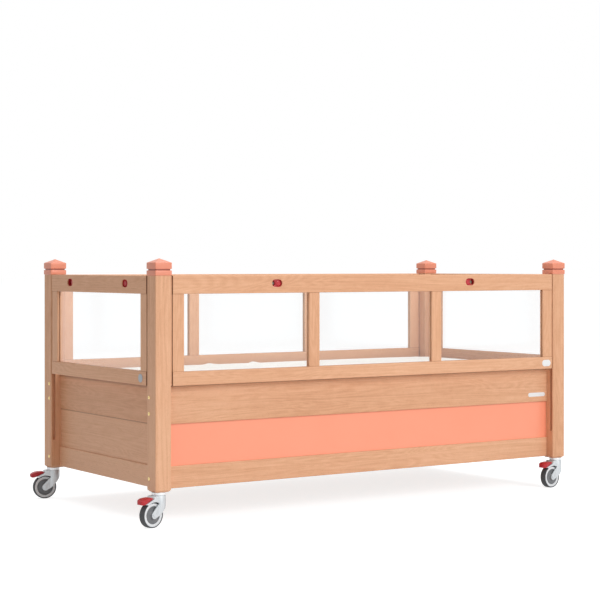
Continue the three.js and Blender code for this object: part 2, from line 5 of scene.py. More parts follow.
import bmesh
import bpy
import numpy as np
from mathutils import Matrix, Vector


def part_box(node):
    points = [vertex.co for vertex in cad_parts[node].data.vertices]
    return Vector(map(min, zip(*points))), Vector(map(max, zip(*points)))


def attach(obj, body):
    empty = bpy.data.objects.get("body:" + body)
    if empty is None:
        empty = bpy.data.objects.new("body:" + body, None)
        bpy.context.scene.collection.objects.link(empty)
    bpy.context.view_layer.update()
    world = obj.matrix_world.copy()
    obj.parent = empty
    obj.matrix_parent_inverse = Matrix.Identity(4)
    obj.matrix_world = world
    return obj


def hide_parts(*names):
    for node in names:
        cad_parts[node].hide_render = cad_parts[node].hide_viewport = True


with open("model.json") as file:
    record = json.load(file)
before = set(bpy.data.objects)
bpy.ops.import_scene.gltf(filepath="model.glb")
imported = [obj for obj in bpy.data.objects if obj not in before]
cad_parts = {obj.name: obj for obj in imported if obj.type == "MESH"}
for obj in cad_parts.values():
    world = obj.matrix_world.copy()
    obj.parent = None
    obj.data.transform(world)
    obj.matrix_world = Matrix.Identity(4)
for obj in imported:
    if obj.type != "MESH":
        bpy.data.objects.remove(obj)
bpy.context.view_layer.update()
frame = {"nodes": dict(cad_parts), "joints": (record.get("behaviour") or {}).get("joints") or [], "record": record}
nodes = frame["nodes"]
joints = {joint["name"]: joint for joint in frame["joints"]}
mm = 0.001
up = np.array((0.0, 0.0, 1.0))
corners = ("front_left", "front_right", "rear_right", "rear_left")
sides = ("front", "right", "rear", "left")
print("frame loaded:", len(nodes), "nodes")


# Shader maths: a socket with operators
class Signal:
    def __init__(self, finish, socket):
        self.finish = finish
        self.socket = socket

    def __add__(self, other):
        return self.finish.maths("ADD", self, other)

    def __sub__(self, other):
        return self.finish.maths("SUBTRACT", self, other)

    def __rsub__(self, other):
        return self.finish.maths("SUBTRACT", other, self)

    def __mul__(self, other):
        return self.finish.maths("MULTIPLY", self, other)

    def __pow__(self, other):
        return self.finish.maths("POWER", self, other)

    def __gt__(self, other):
        return self.finish.maths("GREATER_THAN", self, other)

    def __lt__(self, other):
        return self.finish.maths("LESS_THAN", self, other)

    __radd__ = __add__
    __rmul__ = __mul__

    def sine(self):
        return self.finish.maths("SINE", self)

    def size(self):
        return self.finish.maths("ABSOLUTE", self)

    # 0 below low, 1 above high, and smooth between
    def ramp(self, low, high):
        made = self.finish.node(
            "ShaderNodeMapRange",
            {"interpolation_type": "SMOOTHSTEP"},
            {"Value": self, "From Min": low, "From Max": high},
        )
        return Signal(self.finish, made.outputs[0])


# One material, or the world, and the nodes in it
class Finish:
    def __init__(self, name, world=None):
        self.material = world or bpy.data.materials.new(name)
        self.material.use_nodes = True
        self.tree = self.material.node_tree
        self.tree.nodes.clear()
        self.output = self.node("ShaderNodeOutputWorld" if world else "ShaderNodeOutputMaterial")
        self.objectPlace = None

    # settings are set first, then each socket gets its value or link
    def node(self, kind, settings=None, sockets=None):
        made = self.tree.nodes.new(kind)
        for key, value in (settings or {}).items():
            if key == "stops":
                ramp = made.color_ramp
                while len(ramp.elements) < len(value):
                    ramp.elements.new(1.0)
                for element, (position, colour) in zip(ramp.elements, value):
                    element.position = position
                    element.color = (*colour, 1.0)
            else:
                setattr(made, key, value)
        for key, value in (sockets or {}).items():
            socket = made.inputs[key]
            if isinstance(value, Signal):
                self.tree.links.new(value.socket, socket)
            elif isinstance(value, bpy.types.NodeSocket):
                self.tree.links.new(value, socket)
            elif isinstance(value, tuple) and len(value) == 3 and socket.type == "RGBA":
                socket.default_value = (*value, 1.0)
            else:
                socket.default_value = value
        return made

    def maths(self, operation, *values):
        made = self.node("ShaderNodeMath", {"operation": operation}, dict(enumerate(values)))
        return Signal(self, made.outputs[0])

    def place(self):
        if self.objectPlace is None:
            self.objectPlace = self.node("ShaderNodeTexCoord").outputs["Object"]
        return self.objectPlace

    def axes(self, vector=None):
        split = self.node("ShaderNodeSeparateXYZ", {}, {0: vector or self.place()})
        return [Signal(self, socket) for socket in split.outputs]

    def mapped(self, turn=(0, 0, 0), move=(0, 0, 0), scale=(1, 1, 1), vector=None):
        sockets = {"Vector": vector or self.place(), "Location": move, "Rotation": turn, "Scale": scale}
        return self.node("ShaderNodeMapping", {}, sockets).outputs[0]

    def noise(self, vector, scale, detail=2.0, roughness=0.5, distortion=0.0):
        sockets = {
            "Vector": vector,
            "Scale": scale,
            "Detail": detail,
            "Roughness": roughness,
            "Distortion": distortion,
        }
        return Signal(self, self.node("ShaderNodeTexNoise", {}, sockets).outputs[0])

    def stops(self, factor, *stops):
        made = self.node("ShaderNodeValToRGB", {"stops": stops}, {"Fac": factor})
        return made.outputs[0]

    # the numbers are the sockets of Mix for colours: factor, first and second
    def blend(self, factor, first, second):
        made = self.node("ShaderNodeMix", {"data_type": "RGBA"}, {0: factor, 6: first, 7: second})
        return made.outputs[2]

    def bump(self, height, strength, distance):
        sockets = {"Height": height, "Strength": strength, "Distance": distance}
        return self.node("ShaderNodeBump", {}, sockets).outputs[0]

    # 1 for the rays that see a surface: from the camera, off a mirror or through glass
    def seen(self):
        path = self.node("ShaderNodeLightPath")
        rays = ("Is Camera Ray", "Is Glossy Ray", "Is Transmission Ray")
        total = sum(Signal(self, path.outputs[name]) for name in rays)
        return self.maths("MINIMUM", total, 1.0)

    # sockets of the main shader by name, with _ for a space
    def skin(self, **sockets):
        named = {key.replace("_", " "): value for key, value in sockets.items()}
        return self.shown(self.node("ShaderNodeBsdfPrincipled", {}, named))

    def shown(self, shader):
        self.tree.links.new(shader.outputs[0], self.output.inputs["Surface"])
        return self.material


def dress(node, material):
    slots = nodes[node].data.materials
    slots.clear()
    slots.append(material)


# Surfaces: rows x columns of points become quads; columns close into a ring, end rows are closed if capped
def surfaceMesh(name, points, capped=True):
    rows, columns = points.shape[:2]
    index = np.arange(rows * columns).reshape(rows, columns)
    beside = np.roll(index, -1, axis=1)
    quads = np.stack([index[:-1], beside[:-1], beside[1:], index[1:]], axis=-1).reshape(-1, 4)
    faces = quads.tolist()
    if capped:
        faces += [index[0][::-1].tolist(), index[-1].tolist()]
    mesh = bpy.data.meshes.new(name)
    mesh.from_pydata(points.reshape(-1, 3).tolist(), [], faces)
    return settled(mesh)


# Doubles merged at seams and poles, faces outwards, smooth except at sharp edges
def settled(mesh, sharp=35):
    work = bmesh.new()
    work.from_mesh(mesh)
    bmesh.ops.remove_doubles(work, verts=work.verts, dist=1e-6)
    bmesh.ops.recalc_face_normals(work, faces=work.faces)
    work.to_mesh(mesh)
    work.free()
    mesh.shade_smooth()
    mesh.set_sharp_from_angle(angle=math.radians(sharp))
    return mesh


def vertexPlaces(mesh):
    places = np.empty(len(mesh.vertices) * 3)
    mesh.vertices.foreach_get("co", places)
    return places.reshape(-1, 3)


def addPiece(name, mesh, body, material, stands=()):
    piece = bpy.data.objects.new(name, mesh)
    bpy.context.scene.collection.objects.link(piece)
    mesh.materials.append(material)
    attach(piece, body)
    if stands:
        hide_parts(*stands)
    return piece


# A profile of (radius, height) turned about an axis: rows are profile points, columns are angles
def turnedPoints(profile, origin, axis, steps):
    axis = np.array(Vector(axis).normalized())
    side = np.cross(axis, (0, 0, 1) if abs(axis[2]) < 0.9 else (1, 0, 0))
    side /= np.linalg.norm(side)
    other = np.cross(axis, side)
    angle = np.linspace(0, 2 * np.pi, steps, endpoint=False)
    around = np.cos(angle)[:, None] * side + np.sin(angle)[:, None] * other
    profile = np.asarray(profile, float)
    radial = profile[:, 0, None, None] * around[None]
    return np.array(origin) + radial + profile[:, 1, None, None] * axis


# Points of an arc about a middle, for profiles
def arcPoints(middle, radius, start, end, count):
    angle = np.radians(np.linspace(start, end, count))
    return np.stack([middle[0] + radius * np.cos(angle), middle[1] + radius * np.sin(angle)], axis=1)


# Ring of a rounded square: each quarter is an arc about the corner's middle
def roundedSquare(halfX, halfY, corner, steps):
    angle = (np.arange(4)[:, None] + np.linspace(0, 1, steps)[None]) * np.pi / 2
    signX = np.array([1, -1, -1, 1])[:, None]
    signY = np.array([1, 1, -1, -1])[:, None]
    x = signX * (halfX - corner) + corner * np.cos(angle)
    y = signY * (halfY - corner) + corner * np.sin(angle)
    return np.stack([x.ravel(), y.ravel()], axis=1)


# Camera: level, where the photograph was taken from
camera = dict(
    place=(-4.02578, -5.99821, 1.00642),
    turn=-33.766,
    lens=97.44,
    film=36,
    rise=-0.05595,
    farEnd=200,
)
eye = bpy.data.objects.new("eye", bpy.data.cameras.new("eye"))
bpy.context.scene.collection.objects.link(eye)
eye.location = camera["place"]
eye.rotation_euler = (math.radians(90), 0, math.radians(camera["turn"]))
eye.data.lens = camera["lens"]
eye.data.sensor_width = camera["film"]
eye.data.shift_y = camera["rise"]
eye.data.clip_end = camera["farEnd"]
bpy.context.scene.camera = eye
bpy.context.scene.view_settings.view_transform = "Standard"

# Studio: white world, white floor that keeps a soft shadow, a lamp from the front right and one above
studio = dict(world=0.385, floor=90.0, bounce=(0.9, 0.9, 0.9), floorGlow=0.77, shadow=(0.62, 0.65, 0.67))
lamps = dict(
    side=dict(place=(1.1, -8.2, 4.6), size=4.8, watts=414, aim=(-5.5, 0, 0.5)),
    above=dict(place=(0.1, -0.2, 4.6), size=4.2, watts=105, aim=(0.1, 0, 0.5)),
)


def makeStudio():
    world = bpy.data.worlds.new("studio")
    bpy.context.scene.world = world
    sky = Finish("studio", world)
    level = sky.seen() * (1 - studio["world"]) + studio["world"]
    sky.shown(sky.node("ShaderNodeBackground", {}, {"Color": (1, 1, 1), "Strength": level}))

    half = studio["floor"]
    square = [(-half, -half, 0), (half, -half, 0), (half, half, 0), (-half, half, 0)]
    mesh = bpy.data.meshes.new("floor")
    mesh.from_pydata(square, [], [(0, 1, 2, 3)])
    floor = bpy.data.objects.new("floor", mesh)
    bpy.context.scene.collection.objects.link(floor)
    mesh.materials.append(floorFinish())

    for name, look in lamps.items():
        lamp = bpy.data.lights.new(f"{name}_lamp", "AREA")
        lamp.size = look["size"]
        lamp.energy = look["watts"]
        holder = bpy.data.objects.new(f"{name}_lamp", lamp)
        holder.location = look["place"]
        towards = Vector(look["aim"]) - Vector(look["place"])
        holder.rotation_euler = towards.to_track_quat("-Z", "Y").to_euler()
        bpy.context.scene.collection.objects.link(holder)


# Light that falls on the floor is spread back; what is seen of it is white with a part of the shadow
def floorFinish():
    finish = Finish("floor_white")
    tones = [{"Color": studio[key]} for key in ("bounce", "shadow")]
    matt, faint = (finish.node("ShaderNodeBsdfDiffuse", {}, tone).outputs[0] for tone in tones)
    glow = finish.node("ShaderNodeEmission", {}, {"Strength": studio["floorGlow"]}).outputs[0]
    white = finish.node("ShaderNodeAddShader", {}, {0: faint, 1: glow}).outputs[0]
    return finish.shown(finish.node("ShaderNodeMixShader", {}, {0: finish.seen(), 1: matt, 2: white}))


makeStudio()
print("camera and studio set")

# Beech: faint growth rings, fine fibres along the board, soft streaks and short dark flecks. Each noise has
# a scale along the fibres and one across, detail, and where given roughness and distortion; shares weigh
# them into the tone that the stops colour, and lifts raise or lower the tone of a board as painted light and shade
beech = dict(
    light=(0.8, 0.455, 0.275),
    middle=(0.72, 0.385, 0.22),
    dark=(0.63, 0.315, 0.17),
    fleck=(0.42, 0.19, 0.09),
    # painted shade: the dark brown of the bands under the gates and upper boards and of the gate ends in the posts
    paintedShade=(0.14, 0.055, 0.025),
    stops=(0.48, 0.65, 0.84),
    rings=120.0,
    figure=(1.1, 13.0, 1.0, 0.4, 0.8),
    streak=(2.6, 190.0, 2.0, 0.6),
    fibre=(9.0, 520.0, 3.0, 0.6),
    mottle=(22.0, 45.0, 2.0, 0.6, 0.8),
    cloud=(0.8, 2.4, 1.0),
    flecks=(130.0, 1200.0, 1.0),
    shares=dict(rings=0.1, streak=0.4, fibre=0.3, mottle=0.2, cloud=0.35, flecks=0.4),
    rough=0.48,
    roughSpread=0.16,
    bump=(0.22, 0.0004),
    # painted light and shade: lighter low on the left end and on the rear gate, darker on the left upper board and
    # the front right post
    paintedLightLifts=dict(left_lower=0.15, left_panel=0.05, left_upper=-0.08, post_front_right=-0.1, rear_gate=0.12),
    seeds=dict(post=11, upper=31, lower=41, gate=51, panel=61, ledger=71),
)
quarter = math.pi / 2
grainTurns = {"x": (0, 0, 0), "y": (0, 0, -quarter), "z": (0, quarter, 0)}


# Colour and height of beech whose fibres run along one axis; seed moves the figure, lift is the board's painted
# light and shade.
# The rings are the sine of a slow noise, 0.5 + 0.5 * sin(rings * figure)
def beechGrain(finish, along, seed, paintedLightLift=0.0):
    rng = np.random.default_rng(seed)
    shift = tuple(float(v) for v in rng.uniform(-3, 3, 3))
    moved = finish.mapped(move=shift, vector=finish.mapped(turn=grainTurns[along]))

    def grain(alongScale, acrossScale, detail, roughness=0.5, distortion=0.0):
        stretched = finish.mapped(scale=(alongScale, acrossScale, acrossScale), vector=moved)
        return finish.noise(stretched, 1.0, detail, roughness, distortion)

    rings = (grain(*beech["figure"]) * beech["rings"]).sine() * 0.5 + 0.5
    streak, fibre, mottle, cloud = (grain(*beech[name]) for name in ("streak", "fibre", "mottle", "cloud"))
    shares = beech["shares"]
    tone = rings * shares["rings"] + streak * shares["streak"] + fibre * shares["fibre"]
    tone = tone + mottle * shares["mottle"] + cloud * shares["cloud"] + paintedLightLift
    colours = (beech["dark"], beech["middle"], beech["light"])
    colour = finish.stops(tone, *zip(beech["stops"], colours))
    flecks = grain(*beech["flecks"]).ramp(0.62, 0.72)
    colour = finish.blend(flecks * shares["flecks"], colour, beech["fleck"])
    height = fibre * 0.6 + flecks * -0.5 + streak * 0.3
    return colour, height, fibre


# Oiled beech: satin, a little rougher where the fibres are pale
def beechSkin(finish, colour, height, fibre):
    return finish.skin(
        Base_Color=colour,
        Roughness=fibre * beech["roughSpread"] + (beech["rough"] - beech["roughSpread"] / 2),
        Specular_IOR_Level=0.32,
        Coat_Weight=0.06,
        Coat_Roughness=0.3,
        Normal=finish.bump(height, *beech["bump"]),
    )


# A board may have a dark edge of painted shade, which starts at one height and is full at the next
def beechFinish(name, along, seed, edge=None):
    finish = Finish(f"beech_{name}")
    colour, height, fibre = beechGrain(finish, along, seed, beech["paintedLightLifts"].get(name, 0.0))
    if edge:
        low, high, share = edge
        colour = finish.blend(finish.axes()[2].ramp(low, high) * share, colour, beech["paintedShade"])
    return beechSkin(finish, colour, height, fibre)


# Painted shade: dark edges under the gates, by the way the board runs, and under the upper boards: two heights and
# a share
paintedShade = dict(
    board=dict(x=(0.536, 0.5405, 0.9), y=(0.522, 0.5395, 0.65)),
    panel=(0.384, 0.3915, 0.65),
)

# Gate frames: fibres run along the rails and up the stiles between them, parted by a thin glue line;
# the ends that slide in the posts are darkened with painted shade
gate = dict(
    railTop=0.8995,
    railLow=0.5975,
    joint=0.0011,
    jointShare=0.7,
    jointDepth=1.5,
    end=0.03,
    endShadeShare=0.9,
    endFacing=0.7,
    stileSeed=500,
)


def gateFinish(side, along, seed):
    finish = Finish(f"beech_{side}_gate")
    paintedLightLift = beech["paintedLightLifts"].get(f"{side}_gate", 0.0)
    railColour, railHeight, railFibre = beechGrain(finish, along, seed, paintedLightLift)
    stileColour, stileHeight, stileFibre = beechGrain(finish, "z", seed + gate["stileSeed"], paintedLightLift)
    height = finish.axes()[2]
    stile = (height > gate["railLow"]) * (height < gate["railTop"])
    nearTop = (height - gate["railTop"]).size()
    nearLow = (height - gate["railLow"]).size()
    joint = finish.maths("MINIMUM", nearTop, nearLow) < gate["joint"]
    colour = finish.blend(stile, railColour, stileColour)
    colour = finish.blend(joint * gate["jointShare"], colour, beech["fleck"])
    facing = finish.axes(finish.node("ShaderNodeNewGeometry").outputs["Normal"])
    number = "xy".index(along)
    low, high = (corner[number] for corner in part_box(f"{side}_gate_frame"))
    away = (finish.axes()[number] - (low + high) / 2).size()
    # painted shade on the end faces in the gaps where the gate slides in the posts
    end = (away > (high - low) / 2 - gate["end"]) * (facing[number].size() > gate["endFacing"])
    colour = finish.blend(end * gate["endShadeShare"], colour, beech["paintedShade"])
    relief = railHeight * (1 - stile) + stileHeight * stile - joint * gate["jointDepth"]
    fibre = railFibre * (1 - stile) + stileFibre * stile
    return beechSkin(finish, colour, relief, fibre)


def dressWood():
    seeds = beech["seeds"]
    for number, corner in enumerate(corners):
        dress(f"post_{corner}", beechFinish(f"post_{corner}", "z", seeds["post"] + number))
    for number, side in enumerate(sides):
        along = "x" if side in ("front", "rear") else "y"
        # painted shade under the gate on each upper board
        edge = paintedShade["board"][along]
        dress(f"{side}_upper_board", beechFinish(f"{side}_upper", along, seeds["upper"] + number, edge))
        dress(f"{side}_lower_rail", beechFinish(f"{side}_lower", along, seeds["lower"] + number))
        dress(f"{side}_gate_frame", gateFinish(side, along, seeds["gate"] + number))
        if along == "y":
            # painted shade under the upper board on each end panel
            panel = beechFinish(f"{side}_panel", along, seeds["panel"] + number, paintedShade["panel"])
            dress(f"{side}_panel", panel)
    for number, side in enumerate(("front", "rear")):
        dress(f"ledger_{side}", beechFinish(f"ledger_{side}", "x", seeds["ledger"] + number))


dressWood()
print("beech laid on posts, boards and gates")

# Platform: birch plywood, with its plies showing on the edges
plywood = dict(face=(0.66, 0.46, 0.29), dark=(0.47, 0.30, 0.17), ply=0.0022)


def plywoodFinish():
    finish = Finish("plywood")
    stretched = finish.mapped(scale=(3.0, 90.0, 400.0))
    fibre = finish.noise(stretched, 1.0, 4.0, 0.6)
    cloud = finish.noise(finish.place(), 3.0, 2.0)
    plies = (finish.axes()[2] * (math.pi / plywood["ply"])).sine() * 0.5 + 0.5
    upright = finish.axes(finish.node("ShaderNodeNewGeometry").outputs["Normal"])[2].size()
    edge = 1 - upright.ramp(0.3, 0.6)
    tone = fibre * 0.6 + cloud * 0.4
    colour = finish.stops(tone, (0.3, plywood["dark"]), (0.7, plywood["face"]))
    colour = finish.blend(edge * plies * 0.6, colour, plywood["dark"])
    return finish.skin(
        Base_Color=colour,
        Roughness=fibre * 0.2 + 0.5,
        Normal=finish.bump(fibre, 0.2, 0.0005),
    )


dress("mattress_platform", plywoodFinish())

# Caps: heights are above the cap's foot
cap = dict(
    corner=4.0,
    ease=2.0,
    lip=1.0,
    grooveLow=19.5,
    grooveTop=25.5,
    grooveDepth=4.6,
    eave=51.0,
    eaveRound=3.0,
    peak=67.0,
    steps=7,
)

# Salmon lacquer on the long panels and the caps: satin, with a faint sprayed surface
lacquer = dict(
    panel=dict(
        colour=(0.97, 0.34, 0.205),
        worn=(0.93, 0.315, 0.185),
        # painted shade: the dark band under the upper board
        edge=(0.45, 0.12, 0.065),
        edgeShadeShare=0.6,
        rough=0.36,
    ),
    cap=dict(
        colour=(0.8, 0.275, 0.168),
        worn=(0.74, 0.25, 0.148),
        # painted shade: the dark line in the groove under the cap's upper block
        groove=(0.3, 0.07, 0.04),
        grooveShadeBand=(2.2, 3.2),
        grooveShadeShare=0.75,
        rough=0.42,
    ),
)


def lacquerFinish(name):
    look = lacquer[name]
    finish = Finish(f"salmon_lacquer_{name}")
    cloud = finish.noise(finish.place(), 6.0, 3.0)
    grain = finish.noise(finish.mapped(scale=(14.0, 260.0, 260.0)), 1.0, 2.0)
    peel = finish.noise(finish.place(), 700.0, 1.0)
    colour = finish.blend(cloud.ramp(0.35, 0.8) * 0.4, look["colour"], look["worn"])
    if name == "panel":
        # painted shade under the upper board
        low, high, share = paintedShade["panel"]
        edge = finish.axes()[2].ramp(low, high) * (share * look["edgeShadeShare"])
        colour = finish.blend(edge, colour, look["edge"])
    if name == "cap":
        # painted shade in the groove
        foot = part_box("cap_front_left")[0].z
        middle = foot + (cap["grooveLow"] + cap["grooveTop"]) / 2 * mm
        low, high = (v * mm for v in look["grooveShadeBand"])
        groove = 1 - (finish.axes()[2] - middle).size().ramp(low, high)
        colour = finish.blend(groove * look["grooveShadeShare"], colour, look["groove"])
    return finish.skin(
        Base_Color=colour,
        Roughness=cloud * 0.1 + (look["rough"] - 0.05),
        Coat_Weight=0.15,
        Coat_Roughness=0.2,
        Normal=finish.bump(peel * 0.5 + grain * 0.5, 0.12, 0.0003),
    )


panelLacquer = lacquerFinish("panel")
dress("front_panel", panelLacquer)
dress("rear_panel", panelLacquer)


# Outline of a cap from its foot to its peak: (half width, height)
def capLevels(half):
    ease, lip, bend = cap["ease"], cap["lip"], cap["eaveRound"]
    low, top, depth = cap["grooveLow"], cap["grooveTop"], cap["grooveDepth"]
    foot = arcPoints((half - ease, ease), ease, -90, 0, 5)
    under = arcPoints((half - lip, low - lip), lip, 0, 90, 4)
    seat = np.array([[half - depth, low + 0.6], [half - depth, top - 0.6]])
    over = arcPoints((half - lip, top + lip), lip, -90, 0, 4)
    eave = arcPoints((half - bend, cap["eave"] - bend), bend, 0, 65, 6)
    roof = np.linspace(eave[-1], (1.5, cap["peak"] - 0.4), 8)[1:]
    return np.concatenate([foot, under, seat, over, eave, roof, [[0.6, cap["peak"]]]])


# Each section is a rounded square whose half width and corner follow the height
def makeCaps():
    capLacquer = lacquerFinish("cap")
    for corner in corners:
        low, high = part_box(f"cap_{corner}")
        levels = capLevels((high.x - low.x) / 2 / mm)
        rings = []
        for half, height in levels:
            ring = roundedSquare(half, half, min(cap["corner"], 0.9 * half), cap["steps"])
            rings.append(np.column_stack([ring, np.full(len(ring), height)]))
        middle = np.array([(low.x + high.x) / 2, (low.y + high.y) / 2, low.z])
        mesh = surfaceMesh(f"post_cap_{corner}", np.array(rings) * mm + middle)
        addPiece(f"post_cap_{corner}", mesh, "frame", capLacquer, [f"cap_{corner}"])


makeCaps()
print("caps made")

# Panes: clear sheet, seen by its mirror light and a faint veil of wiping; the mirror's share is
# base + (1 - base) * (1 - cosine) to the fifth
pane = dict(base=0.043, veil=0.013, smear=0.01, tint=(0.998, 0.999, 0.999), rough=0.12)


def paneFinish():
    finish = Finish("clear_pane")
    slant = Signal(finish, finish.node("ShaderNodeLayerWeight", {}, {"Blend": 0.5}).outputs["Facing"])
    smears = finish.noise(finish.mapped(scale=(3.0, 3.0, 1.2)), 1.0, 3.0)
    through = finish.node("ShaderNodeBsdfTransparent", {}, {"Color": pane["tint"]})
    sockets = {"Color": (1, 1, 1), "Roughness": smears * 0.03 + pane["rough"]}
    mirror = finish.node("ShaderNodeBsdfGlossy", {}, sockets)
    share = slant**5.0 * (1 - pane["base"]) + pane["base"]
    share = share + smears.ramp(0.45, 0.75) * pane["smear"] + pane["veil"]
    shaders = {0: share, 1: through.outputs[0], 2: mirror.outputs[0]}
    return finish.shown(finish.node("ShaderNodeMixShader", {}, shaders))


clear = paneFinish()
for name in nodes:
    if name.endswith("_pane") or "_pane_" in name:
        dress(name, clear)

# Moulded plastics: a fine spark-eroded grain and slight scuffing
plastics = dict(
    latch_red=dict(colour=(0.52, 0.022, 0.032), scuffed=(0.58, 0.07, 0.075), rough=0.3, grain=1500.0),
    pedal_red=dict(colour=(0.46, 0.008, 0.016), scuffed=(0.5, 0.025, 0.035), rough=0.4, grain=1100.0),
    caster_grey=dict(
        colour=(0.6, 0.63, 0.65), scuffed=(0.53, 0.56, 0.58), rough=0.4, grain=1100.0, metallic=0.5
    ),
    wheel_grey=dict(colour=(0.17, 0.175, 0.185), scuffed=(0.23, 0.235, 0.24), rough=0.5, grain=1100.0),
    rim_grey=dict(colour=(0.8, 0.82, 0.84), scuffed=(0.72, 0.74, 0.76), rough=0.36, grain=1100.0),
    # painted highlight: the plug in the finger well is the light grey of a glint
    well_painted_glint=dict(colour=(0.27, 0.25, 0.2), scuffed=(0.33, 0.32, 0.27), rough=0.3, grain=900.0),
    plate_white=dict(colour=(0.82, 0.83, 0.83), scuffed=(0.74, 0.75, 0.75), rough=0.3, grain=600.0),
    plate_grey=dict(colour=(0.42, 0.46, 0.5), scuffed=(0.34, 0.38, 0.42), rough=0.3, grain=600.0),
)


def plasticFinish(name):
    look = plastics[name]
    finish = Finish(name)
    grain = finish.noise(finish.place(), look["grain"], 1.0)
    scuff = finish.noise(finish.mapped(scale=(70.0, 70.0, 30.0)), 1.0, 4.0, 0.65)
    colour = finish.blend(scuff.ramp(0.5, 0.8) * 0.5, look["colour"], look["scuffed"])
    return finish.skin(
        Base_Color=colour,
        Metallic=look.get("metallic", 0.0),
        Roughness=scuff * 0.18 + (look["rough"] - 0.09),
        Normal=finish.bump(grain, 0.1, 0.0002),
    )


finishes = {name: plasticFinish(name) for name in plastics}

# Metals: zinc collar and brass bolt heads
metals = dict(
    collar_metal=dict(colour=(0.82, 0.84, 0.86), rough=0.3, metallic=0.5),
    brass=dict(colour=(0.78, 0.62, 0.3), rough=0.28, metallic=1.0),
)


def metalFinish(name):
    look = metals[name]
    finish = Finish(name)
    brushed = finish.noise(finish.mapped(scale=(300.0, 300.0, 2400.0)), 1.0, 2.0)
    cloud = finish.noise(finish.place(), 60.0, 3.0)
    dull = tuple(0.8 * v for v in look["colour"])
    colour = finish.blend(cloud.ramp(0.4, 0.8) * 0.5, look["colour"], dull)
    return finish.skin(
        Base_Color=colour,
        Metallic=look["metallic"],
        Roughness=brushed * 0.2 + (look["rough"] - 0.1),
        Normal=finish.bump(brushed, 0.08, 0.0002),
    )


finishes.update({name: metalFinish(name) for name in metals})

# Tyre rubber: matt, with patches of dust
rubber = dict(colour=(0.068, 0.071, 0.077), dust=(0.17, 0.165, 0.16), rough=0.72)


def rubberFinish():
    finish = Finish("tyre_rubber")
    patch = finish.noise(finish.place(), 90.0, 4.0, 0.6)
    speck = finish.noise(finish.place(), 900.0, 2.0)
    colour = finish.blend(patch.ramp(0.48, 0.75) * 0.35, rubber["colour"], rubber["dust"])
    return finish.skin(
        Base_Color=colour,
        Roughness=patch * 0.16 + (rubber["rough"] - 0.08),
        Normal=finish.bump(speck, 0.2, 0.0004),
    )


finishes["tyre_rubber"] = rubberFinish()
print("plastics, metals and rubber mixed")


# A copy of a node with its triangles joined into faces and its edges rounded: doubles nearer than merge
# become one, faces that differ by less than flat degrees are joined, edges over sharp degrees are rounded
softening = dict(merge=2e-6, flat=0.6, sharp=28.0)


def softened(name, node, finish, width, segments=3, reshape=None):
    mesh = nodes[node].data.copy()
    mesh.name = name
    mesh.materials.clear()
    if reshape:
        mesh.vertices.foreach_set("co", reshape(vertexPlaces(mesh)).ravel())
    work = bmesh.new()
    work.from_mesh(mesh)
    bmesh.ops.remove_doubles(work, verts=work.verts, dist=softening["merge"])
    flat = math.radians(softening["flat"])
    bmesh.ops.dissolve_limit(work, angle_limit=flat, verts=work.verts, edges=work.edges)
    work.to_mesh(mesh)
    work.free()
    mesh.shade_smooth()
    piece = addPiece(name, mesh, node, finishes[finish], [node])
    rounding = piece.modifiers.new("rounding", "BEVEL")
    rounding.width = width * mm
    rounding.segments = segments
    rounding.limit_method = "ANGLE"
    rounding.angle_limit = math.radians(softening["sharp"])
    rounding.harden_normals = True
    rounding.miter_outer = "MITER_ARC"
    return piece


# Casters, about the swivel axis and the axle that the frame gives; across is measured from the wheel's
# middle, and the bead's points are (radius past the seat, across)
wheel = dict(
    radius=50.0,
    half=14.8,
    treadHalf=9.0,
    crown=0.35,
    shoulder=46.9,
    seat=45.6,
    bead=((0.6, 14.2), (0.0, 13.0), (-1.2, 11.0)),
    rimIn=34.8,
    rimAcross=12.6,
    discAcross=10.4,
    grooveOut=31.0,
    grooveIn=27.0,
    grooveDepth=0.8,
    bossRadius=14.0,
    bossAcross=14.6,
    bore=5.2,
    steps=96,
)


# Tyre section: a crowned tread, elliptic shoulders and a bead on the rim, from one side to the other
def tyreSection():
    tread = wheel["treadHalf"]
    across = np.linspace(0, tread, 7)
    top = wheel["radius"] - wheel["crown"] * (across / tread) ** 2
    angle = np.linspace(0, np.pi / 2, 10)[1:]
    shoulderTop = wheel["radius"] - wheel["crown"]
    shoulderAcross = tread + (wheel["half"] - tread) * np.sin(angle)
    shoulder = wheel["shoulder"] + (shoulderTop - wheel["shoulder"]) * np.cos(angle)
    bead = np.array(wheel["bead"]) + (wheel["seat"], 0)
    crowned = np.column_stack([top, across])
    rounded = np.column_stack([shoulder, shoulderAcross])
    half = np.concatenate([crowned, rounded, bead])
    mirrored = half[1:][::-1] * (1, -1)
    return np.concatenate([mirrored, half])


# Rim and disc sections run from one side's inner edge out, across and in on the other side
def rimSection():
    face = wheel["rimAcross"]
    outer = wheel["seat"] - 0.1
    inner = wheel["rimIn"]
    edge = [[outer, face - 1.4], [outer - 0.6, face - 0.3], [outer - 1.6, face], [inner + 1.2, face]]
    lip = [[inner + 0.4, face - 0.4], [inner, face - 1.2], [inner, wheel["discAcross"] - 1.5]]
    half = np.array(edge + lip)
    return np.concatenate([half[::-1] * (1, -1), half])


def discSection():
    disc, rimIn, bore = wheel["discAcross"], wheel["rimIn"], wheel["bore"]
    boss, bossAcross = wheel["bossRadius"], wheel["bossAcross"]
    out, into, sunk = wheel["grooveOut"], wheel["grooveIn"], disc - wheel["grooveDepth"]
    flat = [[rimIn + 0.2, disc - 0.6], [rimIn - 1.5, disc]]
    groove = [[out, disc], [out - 1, sunk], [into + 1, sunk], [into, disc]]
    rise = [[boss + 5, disc], [boss + 1.5, disc + 1.2], [boss, bossAcross - 1.2], [boss - 1.2, bossAcross]]
    hole = [[bore + 0.6, bossAcross], [bore, bossAcross - 0.6]]
    half = np.array(flat + groove + rise + hole)
    return np.concatenate([half[::-1] * (1, -1), half])


